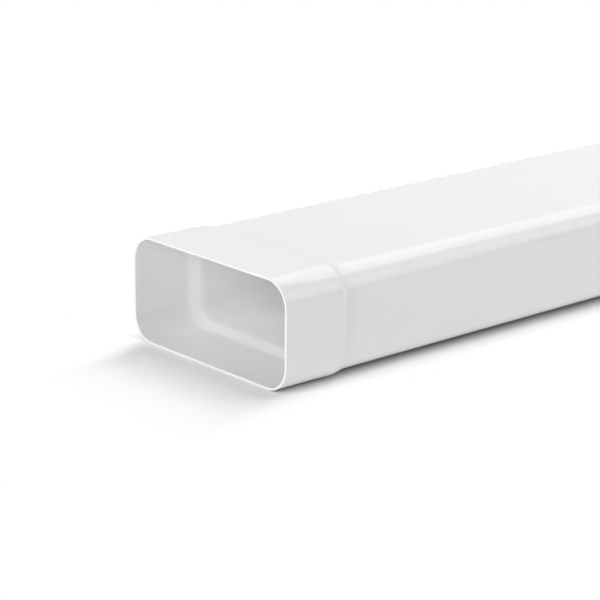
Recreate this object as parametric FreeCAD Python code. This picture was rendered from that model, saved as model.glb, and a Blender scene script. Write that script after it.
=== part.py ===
# Flat ventilation duct: one length of extruded white plastic channel, with a socket formed
# in its wall at one end and a plain sawn end at the other.
#
# Frame: +X runs along the duct, from the socket's mouth towards the plain end, +Y is across
# its width and +Z is up. The origin is midway along the duct, on the floor under its middle.
# All sizes are in millimetres.

import FreeCAD
import Part
import math
import os
from FreeCAD import Vector

# The run, which is the plain channel between the two ends
duct_length = 1000.0        # overall, from the socket's mouth to the plain end
run_width = 153.0           # outside
run_height = 70.0           # outside
corner_radius = 16.2        # outside
wall = 1.6

# The socket, which takes the plain end of the next duct
socket_depth = 47.0         # straight part, from the mouth to the flare
socket_clearance = 0.7      # all round, between the socket's inside and a plain end
flare_angle = 15.0          # degrees, slope of the wall between the socket and the run
flare_bend_radius = 15.0    # middle of the wall, in the bend at each end of the slope
lip_radius = 0.45           # rounding of the mouth's inner and outer edge

# A rounding or a bend takes up no more than this share of the space it has
fullest_rounding = 0.95

# How far the socket stands outside the run
socket_step = wall + socket_clearance


def arc(centre, radius, start_angle, end_angle):
    """An arc in the XZ plane, with its angles in degrees from +X towards +Z."""
    def at(angle):
        turn = math.radians(angle)
        return centre + Vector(radius * math.cos(turn), 0.0, radius * math.sin(turn))
    return Part.Arc(at(start_angle), at((start_angle + end_angle) / 2.0), at(end_angle)).toShape()


def closed_outline(curves):
    """Joins curves, in their order, with straight lines wherever there is a gap between two."""
    edges = []
    for curve, following in zip(curves, curves[1:] + curves[:1]):
        end = curve.valueAt(curve.LastParameter)
        start = following.valueAt(following.FirstParameter)
        edges.append(curve)
        if end.distanceToPoint(start) > Part.Precision.confusion():
            edges.append(Part.makeLine(end, start))
    return Part.Wire(edges)


def wall_section():
    """The wall cut lengthwise: socket, shoulder bend, slope, neck bend and run.

    X is the distance from the mouth, and Z the distance out from the run's outside. The wall is
    as thick in the bends as elsewhere, so its two sides turn round the same centres.
    """
    slope = math.radians(flare_angle)
    bend_drop = 1.0 - math.cos(slope)
    tallest_bend = socket_step / (2.0 * bend_drop)
    bend_radius = min(flare_bend_radius, fullest_rounding * tallest_bend)
    slope_drop = socket_step - 2.0 * bend_radius * bend_drop
    flare_length = 2.0 * bend_radius * math.sin(slope) + slope_drop / math.tan(slope)

    # The shoulder turns round a centre below the wall, and the neck round one above it
    mid_wall = wall / 2.0
    wide_side = bend_radius + mid_wall
    tight_side = bend_radius - mid_wall
    shoulder = Vector(socket_depth, 0.0, socket_step - mid_wall - bend_radius)
    neck = Vector(socket_depth + flare_length, 0.0, bend_radius - mid_wall)

    lip = min(lip_radius, fullest_rounding * mid_wall)
    outer_lip = Vector(lip, 0.0, socket_step - lip)
    inner_lip = Vector(lip, 0.0, socket_step - wall + lip)

    plain_end = Part.makeLine(Vector(duct_length, 0.0, 0.0), Vector(duct_length, 0.0, -wall))
    return Part.Face(closed_outline([
        arc(outer_lip, lip, 180.0, 90.0),
        arc(shoulder, wide_side, 90.0, 90.0 - flare_angle),
        arc(neck, tight_side, 270.0 - flare_angle, 270.0),
        plain_end,
        arc(neck, wide_side, 270.0, 270.0 - flare_angle),
        arc(shoulder, tight_side, 90.0 - flare_angle, 90.0),
        arc(inner_lip, lip, 270.0, 180.0),
    ]))


def corner_and_flat(section, flat_width, flat_height):
    """One rounded corner and the flat beside it, both carrying the wall's section.

    The flat faces up, flat_height above the duct's middle line. The section is drawn straight
    along it, and turned a quarter circle about the axis of the corner at its -Y end.
    """
    corner_axis = Vector(0.0, -flat_width / 2.0, flat_height - corner_radius)
    wall_by_corner = section.translated(corner_axis + Vector(0.0, 0.0, corner_radius))
    corner = wall_by_corner.revolve(corner_axis, Vector(1.0, 0.0, 0.0), 90.0)
    flat = wall_by_corner.extrude(Vector(0.0, flat_width, 0.0))
    return [corner, flat]


def flat_duct():
    """The whole duct as one solid: four corners and four flats, all of one section."""
    section = wall_section()
    wide_flat = run_width - 2.0 * corner_radius
    narrow_flat = run_height - 2.0 * corner_radius
    sides = [
        (wide_flat, run_height / 2.0),
        (narrow_flat, run_width / 2.0),
        (wide_flat, run_height / 2.0),
        (narrow_flat, run_width / 2.0),
    ]
    pieces = []
    for quarter_turns, (flat_width, flat_height) in enumerate(sides):
        for piece in corner_and_flat(section, flat_width, flat_height):
            piece.rotate(Vector(0.0, 0.0, 0.0), Vector(1.0, 0.0, 0.0), 90.0 * quarter_turns)
            pieces.append(piece)
    duct = pieces[0].multiFuse(pieces[1:]).removeSplitter()

    # The duct lies on its socket, and its middle line is over the origin
    middle_height = run_height / 2.0 + socket_step
    return duct.translated(Vector(-duct_length / 2.0, 0.0, middle_height))


def only_solid(shape):
    if len(shape.Solids) != 1:
        raise ValueError("the duct came out as %d solids" % len(shape.Solids))
    return shape.Solids[0]


duct = only_solid(flat_duct())
os.makedirs("parts", exist_ok=True)
duct.exportStep("parts/flat_duct.step")

box = duct.optimalBoundingBox(False, False)
print("flat_duct: %.1f x %.1f x %.1f mm" % (box.XLength, box.YLength, box.ZLength))
print("valid %s, %d faces, %.0f mm3" % (duct.isValid(), len(duct.Faces), duct.Volume))
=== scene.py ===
import bpy
import bmesh
from bisect import bisect
from math import atan2, copysign, cos, radians, sin
from mathutils import Matrix, Quaternion, Vector


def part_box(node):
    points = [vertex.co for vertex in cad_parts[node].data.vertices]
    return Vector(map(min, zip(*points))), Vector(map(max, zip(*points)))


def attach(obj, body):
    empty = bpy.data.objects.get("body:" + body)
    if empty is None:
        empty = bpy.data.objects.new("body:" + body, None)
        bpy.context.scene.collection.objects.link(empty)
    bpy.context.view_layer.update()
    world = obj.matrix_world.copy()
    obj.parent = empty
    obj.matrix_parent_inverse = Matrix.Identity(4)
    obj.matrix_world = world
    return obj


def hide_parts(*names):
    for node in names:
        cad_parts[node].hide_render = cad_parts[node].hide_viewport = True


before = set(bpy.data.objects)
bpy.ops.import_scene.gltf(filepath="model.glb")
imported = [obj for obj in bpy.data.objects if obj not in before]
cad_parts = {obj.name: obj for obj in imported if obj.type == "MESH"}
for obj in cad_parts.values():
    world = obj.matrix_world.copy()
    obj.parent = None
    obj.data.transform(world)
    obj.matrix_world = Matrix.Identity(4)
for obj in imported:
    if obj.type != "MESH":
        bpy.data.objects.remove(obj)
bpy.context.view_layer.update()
ductLow, ductHigh = (Vector(corner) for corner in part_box("flat_duct"))


# Shader maths: a Wire is one output socket, and an expression on wires adds the Math nodes for it
class Wire:
    def __init__(self, tree, socket):
        self.tree = tree
        self.socket = socket

    def math(self, operation, *others):
        inputs = dict(enumerate((self, *others)))
        return addNode(self.tree, "ShaderNodeMath", {"operation": operation}, inputs)

    def __add__(self, other):
        return self.math("ADD", other)

    def __radd__(self, other):
        return self.math("ADD", other)

    def __sub__(self, other):
        return self.math("SUBTRACT", other)

    def __rsub__(self, other):
        return self.math("MULTIPLY", -1).math("ADD", other)

    def __mul__(self, other):
        return self.math("MULTIPLY", other)

    def __rmul__(self, other):
        return self.math("MULTIPLY", other)

    def smooth(self, low, high):                    # 0 below low, 1 above high
        settings = {"interpolation_type": "SMOOTHSTEP"}
        inputs = {"Value": self, "From Min": low, "From Max": high}
        return addNode(self.tree, "ShaderNodeMapRange", settings, inputs)


# Any node: its settings first, then the values or wires of its inputs
def addNode(tree, kind, settings=None, inputs=None, output=0):
    node = tree.nodes.new(kind)
    for name, value in (settings or {}).items():
        setattr(node, name, value)
    for name, value in (inputs or {}).items():
        if isinstance(value, Wire):
            tree.links.new(value.socket, node.inputs[name])
        else:
            node.inputs[name].default_value = value
    return Wire(tree, node.outputs[output]) if node.outputs else None


def newMaterial(name):
    material = bpy.data.materials.new(name)
    material.use_nodes = True
    material.node_tree.nodes.clear()
    return material, material.node_tree


# The duct, modelled as the real one is made: the wall's lengthwise section, carried round the
# corners. Lengths are in metres, and x is from the mouth
ductShape = {
    "wall": 0.0016,
    "socketStep": 0.0023,           # how far the socket stands outside the run
    "socketCorner": 0.0185,         # outside
    # the neck: x, and how steeply the wall leans in there
    "neck": [(0.0453, 0), (0.0465, 0.05), (0.0480, 0.14), (0.0493, 0.26), (0.0505, 0.30),
             (0.0525, 0.30), (0.0540, 0.19), (0.0560, 0.115), (0.0580, 0.05), (0.0600, 0)],
    # outside it is shorter and steeper round the upper corners, starts with a faint ridge on the
    # upper part of the side walls, and is longer round the lower corners
    "cornerNeck": [(0.0453, 0), (0.0485, 0.05), (0.0500, 0.30), (0.0511, 0.60), (0.0526, 0.60),
                   (0.0540, 0.30), (0.0556, 0.08), (0.0600, 0)],
    "sideNeck": [(0.0453, 0), (0.0468, 0.12), (0.0482, 0.12), (0.0490, -0.15), (0.0495, -0.38),
                 (0.0507, -0.38), (0.0513, 0.1), (0.0519, 0.76), (0.0530, 0.76), (0.0539, 0.4),
                 (0.0556, 0.28), (0.0580, 0.16), (0.0600, 0)],
    "lowNeck": [(0.0430, 0), (0.0455, 0.07), (0.0470, 0.12), (0.0488, 0.22), (0.0508, 0.20),
                (0.0540, 0.21), (0.0560, 0.16), (0.0575, 0.12), (0.0600, 0)],
    "insideNeck": [(0.0430, 0), (0.0475, 0.21), (0.0545, 0.22), (0.0556, 0.10), (0.0600, 0)],
    "neckFineness": 0.0005,
    # across the top and the underside the neck outside is drawn out, round a place on it and by
    # a share, and on the top it comes later
    "neckMiddle": 0.052,
    "drawnOut": 0.45,
    "topShift": 0.0022,
    # where these two fade out on the way round a corner, from the top or the underside
    "drawnOutTurn": (0, radians(20)),
    "topShiftTurn": (0, radians(30)),
    # and where the necks of the upper corners and of the side walls come in
    "cornerNeckTurn": (0, radians(20)),
    "sideNeckTurn": (radians(60), radians(80)),
    # forming the socket changed the corners beside the neck: x, and the growth of the radius of
    # the near upper corner, the near lower one and the far upper one
    "cornerGrowth": [(0.004, 0, 0, 0), (0.026, 0.0003, 0, 0), (0.040, 0.0015, -0.0004, 0.0004),
                     (0.046, 0.0017, -0.0010, 0.0015), (0.060, 0.002, -0.0018, 0.002),
                     (0.080, 0.0018, -0.0016, 0.0007), (0.110, 0.0012, -0.0014, 0.0003),
                     (0.160, 0.0005, -0.0011, 0), (0.220, 0, -0.0008, 0),
                     (0.300, 0, -0.0004, 0), (0.400, 0, 0, 0)],
    "stations": [0, 0.005, 0.012, 0.018, 0.024, 0.030, 0.034, 0.038, 0.066, 0.070, 0.076, 0.083,
                 0.092, 0.101, 0.110, 0.123, 0.136, 0.148, 0.160, 0.175, 0.190, 0.205, 0.220,
                 0.25, 0.3, 0.35, 0.4],
    "lipRadius": 0.00045,
    "sawnRadius": 0.00015,
    "cornerSteps": 16,
    "lipSteps": 4,
    "mergeDistance": 0.00001,
    "sharpAngle": radians(40),
}


# 0 at the start, 1 at the end, and in proportion between them
def ramp(value, start, end):
    return min(max((value - start) / (end - start), 0), 1)


# The value between the rows of a table, each x and then its values
def tableValue(table, x, column=1):
    after = min(max(bisect([row[0] for row in table], x), 1), len(table) - 1)
    before, row = table[after - 1], table[after]
    return before[column] + (row[column] - before[column]) * ramp(x, before[0], row[0])


# Where the neck begins inside and where it ends
def neckReach(shape):
    return shape["insideNeck"][0][0], shape["neck"][-1][0]


# Places along the wall, each x and how far out the wall is from the socket
def wallLine(shape, neck):
    fine = shape["neckFineness"]
    first, last = neckReach(shape)
    places = [first + fine * i for i in range(round((last - first) / fine) + 1)]
    slopes = [tableValue(neck, x) for x in places]
    scale = shape["socketStep"] / sum(slopes)
    line = [(x, -scale * (sum(slopes[:i]) + slopes[i] / 2)) for i, x in enumerate(places)]
    for x in shape["stations"] + [ductHigh.x - ductLow.x]:
        line.append((x, 0 if x < first else -shape["socketStep"]))
    return sorted(line)


def roundCorner(bm, vert, offset, steps):
    bmesh.ops.bevel(bm, geom=[vert], offset=offset, offset_type="OFFSET", segments=steps,
                    profile=0.5, affect="VERTICES", material=-1)


def cutWallSection(bm, shape):
    start = Vector((ductLow.x, ductLow.y + shape["socketCorner"], ductHigh.z))
    inside = bm.verts.layers.float.new("inside")
    outer = [bm.verts.new(start + Vector((x, 0, out)))
             for x, out in wallLine(shape, shape["neck"])]
    inner = [bm.verts.new(start + Vector((x, 0, out - shape["wall"])))
             for x, out in wallLine(shape, shape["insideNeck"])]
    for vert in inner:
        vert[inside] = 1
    bm.faces.new(outer + inner[::-1])
    for vert in (outer[0], inner[0]):
        roundCorner(bm, vert, shape["lipRadius"], shape["lipSteps"])
    for vert in (outer[-1], inner[-1]):
        roundCorner(bm, vert, shape["sawnRadius"], 1)
    bmesh.ops.delete(bm, geom=bm.faces[:], context="FACES_ONLY")
    return bm.edges[:]


# How much further out each of the other necks is than the plain one, at each x
def neckChanges(shape):
    plain = wallLine(shape, shape["neck"])
    return {name: [(x, other - out) for (x, out), (_, other) in
                   zip(plain, wallLine(shape, shape[name]))]
            for name in ("cornerNeck", "sideNeck", "lowNeck")}


# Lets the corners' radius grow or shrink beside the neck, and gives the neck outside its own form
# on each side: each vertex moves by its place on the corner's arc
def shapeCorners(bm, shape):
    centre = (ductLow + ductHigh) / 2
    arcY = ductHigh.y - centre.y - shape["socketCorner"]
    arcZ = ductHigh.z - centre.z - shape["socketCorner"]
    inside = bm.verts.layers.float["inside"]
    changes = neckChanges(shape)
    start, end = neckReach(shape)
    halfNeck = (end - start) / 2 + shape["neckFineness"] / 5        # a little more, for rounding
    for vert in bm.verts:
        x, y, z = vert.co.x - ductLow.x, vert.co.y - centre.y, vert.co.z - centre.z
        outY, outZ = copysign(1, y), copysign(1, z)
        turn = atan2(max(abs(y) - arcY, 0), max(abs(z) - arcZ, 0))
        if y < 0 or z > 0:
            column = 3 if y > 0 else 2 if z < 0 else 1
            growth = tableValue(shape["cornerGrowth"], x, column)
            vert.co.y += growth * outY * (sin(turn) - 1)
            vert.co.z += growth * outZ * (cos(turn) - 1)
        fromMiddle = (x - (start + end) / 2) / halfNeck
        if vert[inside] or abs(fromMiddle) >= 1:
            continue
        flat = 1 - ramp(turn, *shape["drawnOutTurn"])
        vert.co.x += (x - shape["neckMiddle"]) * shape["drawnOut"] * flat ** 2
        out = tableValue(changes["lowNeck"], x)
        if z > 0:
            side = ramp(turn, *shape["sideNeckTurn"])
            corner = ramp(turn, *shape["cornerNeckTurn"]) * (1 - side)
            out = tableValue(changes["cornerNeck"], x) * corner
            out += tableValue(changes["sideNeck"], x) * side
            top = 1 - ramp(turn, *shape["topShiftTurn"])
            vert.co.x += shape["topShift"] * top * (1 - fromMiddle ** 2)
        vert.co.y += out * outY * sin(turn)
        vert.co.z += out * outZ * cos(turn)


def buildDuct(shape):
    bm = bmesh.new()
    edges = cutWallSection(bm, shape)
    corner = shape["socketCorner"]
    flats = [ductHigh.z - ductLow.z - 2 * corner, ductHigh.y - ductLow.y - 2 * corner]
    axisPoint = Vector((0, ductLow.y + corner, ductHigh.z - corner))
    along = Vector((0, 0, -1))
    quarter = Matrix.Rotation(radians(90), 3, "X")
    for side in range(4):           # a corner, and then the flat that follows it
        verts = list(dict.fromkeys(vert for edge in edges for vert in edge.verts))
        spun = bmesh.ops.spin(bm, geom=edges + verts, cent=axisPoint, axis=(1, 0, 0),
                              dvec=(0, 0, 0), angle=radians(90), steps=shape["cornerSteps"],
                              use_merge=False)
        edges = [part for part in spun["geom_last"] if isinstance(part, bmesh.types.BMEdge)]
        drawn = bmesh.ops.extrude_edge_only(bm, edges=edges)["geom"]
        edges = [part for part in drawn if isinstance(part, bmesh.types.BMEdge)]
        verts = [part for part in drawn if isinstance(part, bmesh.types.BMVert)]
        flat = along * flats[side % 2]
        bmesh.ops.translate(bm, verts=verts, vec=flat)
        axisPoint += flat
        along = quarter @ along
    bmesh.ops.remove_doubles(bm, verts=bm.verts[:], dist=shape["mergeDistance"])
    bmesh.ops.recalc_face_normals(bm, faces=bm.faces[:])
    shapeCorners(bm, shape)
    mesh = bpy.data.meshes.new("flatDuct")
    bm.to_mesh(mesh)
    bm.free()
    for polygon in mesh.polygons:
        polygon.use_smooth = True
    mesh.set_sharp_from_angle(angle=shape["sharpAngle"])
    duct = bpy.data.objects.new("flatDuct", mesh)
    bpy.context.collection.objects.link(duct)
    weighted = duct.modifiers.new("flatNormals", "WEIGHTED_NORMAL")
    weighted.mode = "FACE_AREA"
    weighted.keep_sharp = True
    return duct


plastic = {
    "colour": (0.88, 0.88, 0.878, 1),
    # the inside is painted lighter than the outside: painted light standing in for light that
    # reaches deep into the duct
    "insidePaintedLightColour": (0.942, 0.942, 0.939, 1),
    "filmColour": (0.868, 0.867, 0.862, 1),     # a faint film left by handling
    "cutFaceAndPaintedShadeColour": (0.86, 0.86, 0.856, 1),        # where the ends were cut: their duller face, and painted shade that dims the lit rim
    "roughness": 0.055,
    "filmRoughness": 0.03,          # what each thing adds to the roughness
    "insideRoughness": 0.06,
    "rubbedRoughness": 0.05,
    "scratchRoughness": 0.16,
    "cutRoughness": 0.35,
    "dieLineHeight": 0.000002,      # fine lines along it, left by the extrusion
    "orangePeelHeight": 0.000001,
    "scratchDepth": 0.000006,
    "sawMarkHeight": 0.00003,
    # noise: the size of its grains along the duct and across it, and its detail
    "dieLines": (0.9, 0.0025, 3),
    "orangePeel": (0.004, 0.004, 1),
    "film": (0.16, 0.07, 4),
    "scratched": (0.05, 0.02, 3),
    "rubbed": (0.06, 0.0015, 2),
    # and between which of its values the thing comes in
    "filmEdge": (0.5, 0.72),
    "scratchedEdge": (0.6, 0.7),
    "rubbedEdge": (0.45, 0.65),
    "scratchScale": (6, 42, 42),    # hairlines, long and nearly lengthwise
    "scratchTurn": (0, radians(4), radians(7)),
    "scratchWidth": (0.002, 0.007),
    # the plain end has been pushed into sockets: where that begins, off the far end
    "rubbedStart": (-0.051, -0.045),
    "cutStart": (-0.0004, -0.0001),             # off either end
    "sawWave": {"Scale": 160, "Distortion": 3, "Detail": 3},
}


def makePlastic(look):
    material, tree = newMaterial("whitePlastic")
    place = addNode(tree, "ShaderNodeTexCoord", output="Object")
    endwise = addNode(tree, "ShaderNodeSeparateXYZ", inputs={0: place}, output="X")
    inside = addNode(tree, "ShaderNodeAttribute", {"attribute_name": "inside"}, output="Fac")

    def grain(name):
        along, across, detail = look[name]
        scale = (1 / along, 1 / across, 1 / across)
        stretched = addNode(tree, "ShaderNodeMapping", inputs={"Vector": place, "Scale": scale})
        inputs = {"Vector": stretched, "Scale": 1, "Detail": detail}
        return addNode(tree, "ShaderNodeTexNoise", inputs=inputs)

    def past(distance, start):      # beyond a place near an end
        return distance.smooth(*(ductHigh.x + x for x in start))

    dieLines = grain("dieLines")
    orangePeel = grain("orangePeel")
    film = grain("film").smooth(*look["filmEdge"])
    stretched = addNode(tree, "ShaderNodeMapping", inputs={
        "Vector": place, "Scale": look["scratchScale"], "Rotation": look["scratchTurn"]})
    hairlines = addNode(tree, "ShaderNodeTexVoronoi", {"feature": "DISTANCE_TO_EDGE"},
                        {"Vector": stretched, "Scale": 1})
    scratch = 1 - hairlines.smooth(*look["scratchWidth"])
    scratch = scratch * grain("scratched").smooth(*look["scratchedEdge"])
    rubbed = past(endwise, look["rubbedStart"]) * grain("rubbed").smooth(*look["rubbedEdge"])
    rubbed = rubbed * (1 - inside)
    cut = past(endwise.math("ABSOLUTE"), look["cutStart"])
    sawn = endwise.math("GREATER_THAN", 0) * cut
    sawMarks = addNode(tree, "ShaderNodeTexWave", {"bands_direction": "DIAGONAL"},
                       {"Vector": place, **look["sawWave"]})

    roughness = look["roughness"] + film * look["filmRoughness"] + inside * look["insideRoughness"]
    roughness = roughness + rubbed * look["rubbedRoughness"] + scratch * look["scratchRoughness"]
    roughness = roughness + cut * look["cutRoughness"]
    height = dieLines * look["dieLineHeight"] + orangePeel * look["orangePeelHeight"]
    height = height - scratch * look["scratchDepth"] + sawn * sawMarks * look["sawMarkHeight"]
    colour = look["colour"]
    # the inside's lighter colour is painted light, and the cut ends' darker colour is partly painted
    # shade
    for mask, name in ((film, "filmColour"), (inside, "insidePaintedLightColour"), (cut, "cutFaceAndPaintedShadeColour")):
        inputs = {0: mask, 6: colour, 7: look[name]}
        colour = addNode(tree, "ShaderNodeMix", {"data_type": "RGBA"}, inputs, output=2)
    shader = addNode(tree, "ShaderNodeBsdfPrincipled", inputs={
        "Base Color": colour,
        "Roughness": roughness,
        "Normal": addNode(tree, "ShaderNodeBump", inputs={"Distance": 1, "Height": height}),
    })
    addNode(tree, "ShaderNodeOutputMaterial", inputs={"Surface": shader})
    return material


duct = buildDuct(ductShape)
duct.data.materials.append(makePlastic(plastic))
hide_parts("flat_duct")
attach(duct, "root")
print("duct:", len(duct.data.polygons), "faces")

# The camera stands where the photograph was taken from
cameraSet = {
    "place": (-1.3986, -1.1130, 0.4857),
    "turn": radians(48.661),        # view direction, round from +X
    "down": radians(17.093),
    "roll": radians(0.470),
    "lens": 137.82,
    "sensor": 36,
    "clipEnd": 100,
}


def placeCamera(view):
    data = bpy.data.cameras.new("camera")
    data.lens = view["lens"]
    data.sensor_width = view["sensor"]
    data.clip_end = view["clipEnd"]
    camera = bpy.data.objects.new("camera", data)
    bpy.context.collection.objects.link(camera)
    level = cos(view["down"])
    ahead = Vector((cos(view["turn"]) * level, sin(view["turn"]) * level, -sin(view["down"])))
    aim = ahead.to_track_quat("-Z", "Y") @ Quaternion((0, 0, 1), view["roll"])
    camera.location = view["place"]
    camera.rotation_euler = aim.to_euler()
    bpy.context.scene.camera = camera


placeCamera(cameraSet)
print("camera placed")

# A pale table with soft boxes round it. The camera sees the table and the background as white
studio = {
    "floorSize": 12,
    "floorColour": (0.8, 0.8, 0.8, 1),
    "floorGlow": 0.14,              # the table is lit a little from below
    "floorToCamera": 1.03,          # and the camera sees it a little lighter than it is
    "shadowReach": 0.025,           # painted shadow: the dark line where the duct meets the table
    "shadowFade": 3.6,
    # away from the duct the camera sees the table as plain white: from where to where off its
    # ends and off each side, and in front of the mouth also past a line that slants in from the
    # mouth's left edge
    "whiteEnds": (0.03, 0.1),
    "whiteNear": (0.0, 0.026),
    "whiteBehind": (-0.004, 0.012),
    "whiteLeft": (0.056, 0.078),
    "whiteSlant": 0.28,
    "whiteLeftStart": (-0.008, 0.002),          # how far in front of the mouth that begins
    # what the duct mirrors of the backdrop: white behind it and in front of it
    "backdropTurn": radians(48.7),
    "backdropEdge": (0.3, 0.5),                 # cosine of the angle off its middle
    "backdropTop": (radians(36), radians(46)),
    "lampTarget": (-0.35, -0.05, 0.05),
    "lampWatts": 4,                 # for a square metre at level 1
    # each lamp: degrees round from +X and up, how far off, width, height, level, and whether the
    # duct mirrors it
    "lamps": {
        "overhead": (-12, 71, 2.1, 1.2, 1.2, 3.755, False),
        "overLow": (0, 58, 2.2, 1.2, 0.8, 0.265, True),
        "frontLow": (180, 9, 8.0, 6.4, 2.2, 2.727, False),
        "frontHigh": (187, 26, 8.0, 6.4, 2.24, 4.977, False),
        "frontLeft": (215, 14, 8.0, 4.8, 2.8, 1.89, False),
        "side": (-82, 30, 2.5, 2.0, 1.2, 0.656, True),
        "behindHigh": (20, 47, 3.5, 3.1, 0.875, 1.33, True),
        "behindLow": (20, 33, 3.5, 3.1, 0.875, 0.524, True),
        "right": (-40, 27, 2.2, 1.0, 1.04, 0.79, True),
        "leftBack": (110, 35, 3.0, 2.0, 1.5, 1.235, False),
    },
}


# White for the camera, and as far as mirrored says for what reflects or lets light through
def whiteToCamera(tree, other, white, mirrored=1):
    camera, glossy, through = (addNode(tree, "ShaderNodeLightPath", output=name)
                               for name in ("Is Camera Ray", "Is Glossy Ray", "Is Transmission Ray"))
    seen = camera + (glossy + through) * mirrored
    return addNode(tree, "ShaderNodeMixShader", inputs={0: seen, 1: other, 2: white})


# Where the camera sees the table as plain white
def awayFromDuct(tree, look):
    place = addNode(tree, "ShaderNodeTexCoord", output="Object")
    x, y = (addNode(tree, "ShaderNodeSeparateXYZ", inputs={0: place}, output=axis) for axis in "XY")
    pastEnds = (x.math("ABSOLUTE") - ductHigh.x).smooth(*look["whiteEnds"])
    pastNear = (ductLow.y - y).smooth(*look["whiteNear"])
    pastBehind = (y - ductHigh.y).smooth(*look["whiteBehind"])
    ahead = ductLow.x - x
    pastLeft = (y + ahead.math("MAXIMUM", 0) * look["whiteSlant"]).smooth(*look["whiteLeft"])
    pastLeft = pastLeft * ahead.smooth(*look["whiteLeftStart"])
    away = pastEnds
    for past in (pastNear, pastBehind, pastLeft):
        away = away.math("MAXIMUM", past)
    return away


def makeTableTop(look):
    material, tree = newMaterial("floor")
    plain = addNode(tree, "ShaderNodeBsdfDiffuse", inputs={"Color": look["floorColour"]})
    glow = addNode(tree, "ShaderNodeEmission", inputs={"Strength": look["floorGlow"]})
    lit = addNode(tree, "ShaderNodeAddShader", inputs={0: plain, 1: glow})
    # painted shadow: the table's colour for the camera darkens where the duct closes it in
    openness = addNode(tree, "ShaderNodeAmbientOcclusion",
                       inputs={"Distance": look["shadowReach"]}, output="AO")
    paintedContactShadow = 1 - (1 - openness).math("POWER", look["shadowFade"])
    paintedContactShadow = paintedContactShadow * look["floorToCamera"]
    shade = addNode(tree, "ShaderNodeCombineColor", inputs={0: paintedContactShadow, 1: paintedContactShadow, 2: paintedContactShadow})
    shaded = addNode(tree, "ShaderNodeBsdfDiffuse", inputs={"Color": shade})
    plainWhite = addNode(tree, "ShaderNodeEmission", inputs={"Strength": 1})
    white = addNode(tree, "ShaderNodeMixShader",
                    inputs={0: awayFromDuct(tree, look), 1: shaded, 2: plainWhite})
    addNode(tree, "ShaderNodeOutputMaterial",
            inputs={"Surface": whiteToCamera(tree, lit, white)})
    return material


def makeFloor(look):
    bm = bmesh.new()
    bmesh.ops.create_grid(bm, x_segments=1, y_segments=1, size=look["floorSize"])
    mesh = bpy.data.meshes.new("floor")
    bm.to_mesh(mesh)
    bm.free()
    mesh.materials.append(makeTableTop(look))
    floor = bpy.data.objects.new("floor", mesh)
    bpy.context.collection.objects.link(floor)


def makeWorld(look):
    world = bpy.data.worlds.new("studio")
    bpy.context.scene.world = world
    world.use_nodes = True
    tree = world.node_tree
    tree.nodes.clear()
    dark = addNode(tree, "ShaderNodeBackground", inputs={"Color": (0, 0, 0, 1)})
    white = addNode(tree, "ShaderNodeBackground", inputs={"Color": (1, 1, 1, 1)})
    direction = addNode(tree, "ShaderNodeTexCoord", output="Generated")
    middle = (cos(look["backdropTurn"]), sin(look["backdropTurn"]), 0)
    facing = addNode(tree, "ShaderNodeVectorMath", {"operation": "DOT_PRODUCT"},
                     {0: direction, 1: middle}, output="Value")
    height = addNode(tree, "ShaderNodeSeparateXYZ", inputs={0: direction}, output="Z")
    below = 1 - height.smooth(*(sin(angle) for angle in look["backdropTop"]))
    mirrored = facing.math("ABSOLUTE").smooth(*look["backdropEdge"]) * below
    addNode(tree, "ShaderNodeOutputWorld",
            inputs={"Surface": whiteToCamera(tree, dark, white, mirrored)})


def placeLamps(look):
    target = Vector(look["lampTarget"])
    for name, (turn, up, away, wide, tall, level, mirrored) in look["lamps"].items():
        turn, up = radians(turn), radians(up)
        toward = Vector((cos(turn) * cos(up), sin(turn) * cos(up), sin(up)))
        data = bpy.data.lights.new(name, "AREA")
        data.shape = "RECTANGLE"
        data.size, data.size_y = wide, tall
        data.energy = level * wide * tall * look["lampWatts"]
        lamp = bpy.data.objects.new(name, data)
        bpy.context.collection.objects.link(lamp)
        lamp.location = target + toward * away
        lamp.rotation_euler = toward.to_track_quat("Z", "Y").to_euler()
        lamp.visible_camera = False
        lamp.visible_glossy = mirrored


makeFloor(studio)
makeWorld(studio)
placeLamps(studio)
print("studio lit:", len(studio["lamps"]), "lamps")

scene = bpy.context.scene
scene.view_settings.view_transform = "Standard"
scene.cycles.diffuse_bounces = 10      # light is passed on many times inside the duct
